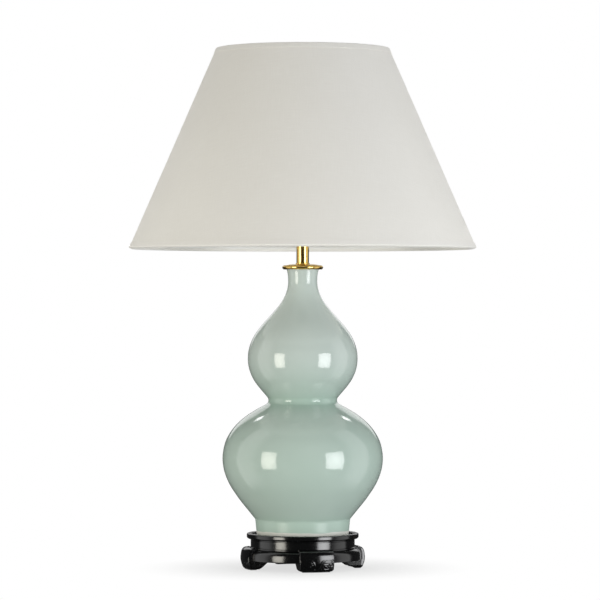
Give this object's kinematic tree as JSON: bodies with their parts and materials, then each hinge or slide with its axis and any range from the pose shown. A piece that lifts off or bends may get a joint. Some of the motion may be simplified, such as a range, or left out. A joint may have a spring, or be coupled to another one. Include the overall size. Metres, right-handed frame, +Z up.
{
  "type": "double gourd table lamp",
  "caption": "Table lamp: a celadon double gourd vase on a black lacquered stand, brass cap and stem, and a tilting cone-shaped fabric shade on a gimbal.",
  "frame": {"origin": "on the floor under the lamp's axis, at the felt pads' undersides", "axes": "+Z up along the lamp's axis; -Y towards the front foot of the stand"},
  "size_m": [0.5099, 0.51, 0.7617],
  "materials": {
    "lacquer": "black lacquer, glossy",
    "felt": "felt",
    "bush_plastic": "satin moulded",
    "celadon": "glossy celadon glaze",
    "steel": "zinc plated",
    "bung_rubber": "matt",
    "brass": "polished",
    "phenolic": "moulded",
    "ring_phenolic": "moulded",
    "porcelain": "glazed inside",
    "knob": "polished",
    "bulb_cap": "spun",
    "black_glass": "vitrite",
    "opal_glass": "opal",
    "frame_wire": "white powder coat",
    "shade_fabric": "fine plain weave",
    "shade_tape": "fine plain weave, self tape",
    "shade_lining": "laminate"
  },
  "bodies": {
    "base": {"stand_foot_front": "lacquer", "felt_pad_front": "felt", "stand_foot_right": "lacquer", "felt_pad_right": "felt", "stand_foot_back": "lacquer", "felt_pad_back": "felt", "stand_foot_left": "lacquer", "felt_pad_left": "felt", "stand_apron": "lacquer", "stand_waist": "lacquer", "stand_top_plate": "lacquer", "cord_bush": "bush_plastic", "vase_felt_ring": "felt", "vase": "celadon", "rod_washer": "steel", "rod_nut": "steel", "threaded_rod": "steel", "neck_bung": "bung_rubber", "vase_cap": "brass", "stem_collar": "brass", "stem_tube": "brass", "stem_bush": "brass", "holder_cup": "brass", "holder_shell": "brass", "screw_shell": "brass", "centre_contact": "brass", "side_contact": "brass", "terminal_screws": "brass", "terminal_block": "phenolic", "shade_ring_lower": "ring_phenolic", "holder_insert": "porcelain"},
    "switch": {"switch_bar": "brass", "switch_knob_left": "knob", "switch_knob_right": "knob"},
    "bulb": {"bulb_tip": "bulb_cap", "bulb_insulator": "black_glass", "bulb_cap": "bulb_cap", "bulb_glass": "opal_glass"},
    "clamp_ring": {"shade_ring_upper": "ring_phenolic"},
    "carrier": {"gimbal_stirrup": "frame_wire", "gimbal_pivot_left": "steel", "gimbal_pivot_right": "steel"},
    "shade": {"gimbal_ring": "frame_wire", "shade_arm_1": "frame_wire", "shade_arm_2": "frame_wire", "shade_arm_3": "frame_wire", "shade_wire_top": "frame_wire", "shade_wire_bottom": "frame_wire", "shade_fabric": "shade_fabric", "shade_lining": "shade_lining", "shade_tape_bottom": "shade_tape", "shade_tape_top": "shade_tape"}
  },
  "joints": [
    {"name": "switch_push", "type": "slide", "parent": "base", "child": "switch", "axis": [1, 0, 0], "range_m": [0, 0.005]},
    {"name": "bulb_unscrew", "type": "slide", "parent": "base", "child": "bulb", "axis": [0, 0, 1], "range_m": [0, 0.028]},
    {"name": "clamp_ring_unscrew", "type": "slide", "parent": "base", "child": "clamp_ring", "axis": [0, 0, 1], "range_m": [0, 0.015]},
    {"name": "shade_turn", "type": "hinge", "parent": "base", "child": "carrier", "pos_m": [0, 0, 0.575], "axis": [0, 0, 1], "continuous": true},
    {"name": "shade_tilt", "type": "hinge", "parent": "carrier", "child": "shade", "pos_m": [0, 0, 0.625], "axis": [1, 0, 0], "range_deg": [-12, 12]}
  ]
}
